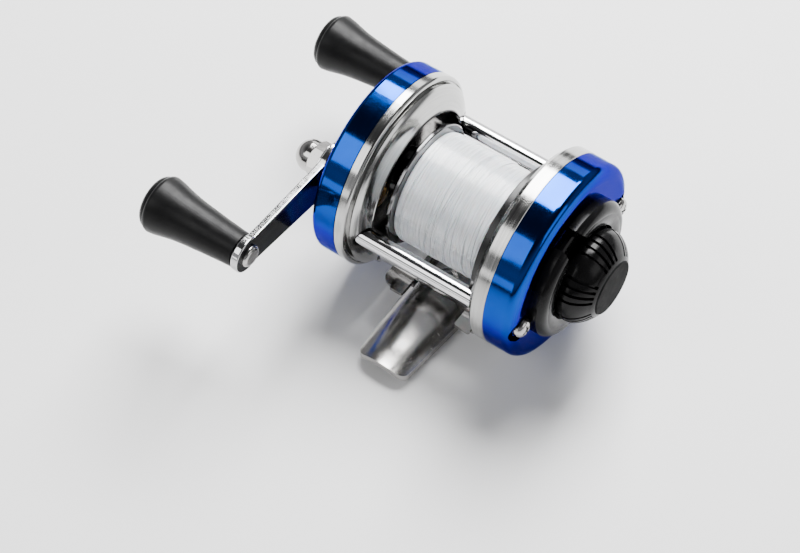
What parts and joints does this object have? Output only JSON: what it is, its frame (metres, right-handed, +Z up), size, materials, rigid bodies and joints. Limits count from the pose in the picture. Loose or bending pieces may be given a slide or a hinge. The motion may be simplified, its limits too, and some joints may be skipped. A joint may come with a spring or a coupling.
{
  "type": "drum fishing reel",
  "caption": "Small drum fishing reel: wound spool between round side plates joined by pillars, geared double-handled crank, round control knob and curved clamp foot.",
  "frame": {"origin": "on the axis of the rod that the concave foot sits on, at mid length of the foot, under the middle of the foot", "axes": "+X along the spool axis from the crank side to the control knob side, +Y along the rod and the foot, +Z up from the rod to the spool"},
  "size_m": [0.0904, 0.0794, 0.0499],
  "materials": {
    "chrome": "polished chrome plating on brass or steel, fine handling marks",
    "chrome_spool": "polished spool metal",
    "steel": "turned steel",
    "bronze": "turned bronze and brass, lightly oiled",
    "blue_cover": "glossy transparent blue over bright metal",
    "black_plastic": "moulded black plastic, satin to gloss",
    "knob_rubber": "black knob plastic with a soft sheen",
    "line": "clear nylon line wound in close turns",
    "pad": "pressed fibre"
  },
  "bodies": {
    "frame": {"left_frame_plate": "chrome", "right_frame_ring": "chrome", "front_pillar": "chrome", "rear_pillar": "chrome", "lower_front_pillar": "chrome", "lower_rear_pillar": "chrome", "left_pillar_screws": "steel", "right_pillar_screws": "steel", "foot_bridge": "chrome", "reel_foot": "chrome", "foot_rivets": "chrome", "bridge_screws": "steel", "left_cover": "blue_cover", "left_cover_screws": "chrome", "right_cover": "blue_cover", "right_cover_screws": "chrome", "control_cover": "black_plastic", "control_cover_screws": "steel", "spool_bush_left": "bronze", "spool_bush_right": "bronze", "crank_bush_inner": "bronze", "crank_bush_outer": "bronze", "knob_clip": "steel", "tension_plunger": "steel", "friction_pad": "pad"},
    "spool": {"spool": "chrome_spool", "spool_brake_drum": "black_plastic", "line_winding": "line", "spool_shaft": "steel", "pinion": "bronze"},
    "crank": {"crank_arm": "chrome", "crank_shaft": "steel", "drive_gear": "bronze", "crank_washer": "chrome", "crank_cap_nut": "chrome", "handle_pins": "chrome"},
    "front_handle": {"handle_knob_front": "knob_rubber", "knob_cap_front": "knob_rubber"},
    "rear_handle": {"handle_knob_rear": "knob_rubber", "knob_cap_rear": "knob_rubber"},
    "control": {"control_knob": "black_plastic", "control_knob_insert": "bronze"}
  },
  "joints": [
    {"name": "crank_turn", "type": "hinge", "parent": "frame", "child": "crank", "pos_m": [-0.02, -0.00975, 0.03508], "axis": [1, 0, 0], "continuous": true},
    {"name": "spool_spin", "type": "hinge", "parent": "frame", "child": "spool", "pos_m": [0, 0, 0.0319], "axis": [1, 0, 0], "continuous": true},
    {"name": "front_handle_turn", "type": "hinge", "parent": "crank", "child": "front_handle", "pos_m": [-0.038, -0.04052, 0.03883], "axis": [1, 0, 0], "continuous": true},
    {"name": "rear_handle_turn", "type": "hinge", "parent": "crank", "child": "rear_handle", "pos_m": [-0.038, 0.02103, 0.03132], "axis": [1, 0, 0], "continuous": true},
    {"name": "control_knob_turn", "type": "hinge", "parent": "frame", "child": "control", "pos_m": [0.034, 0, 0.0319], "axis": [1, 0, 0], "range_deg": [-210, 350]}
  ],
  "couplings": [
    {"joint": "spool_spin", "follows": "crank_turn", "ratio": -2.4167}
  ]
}
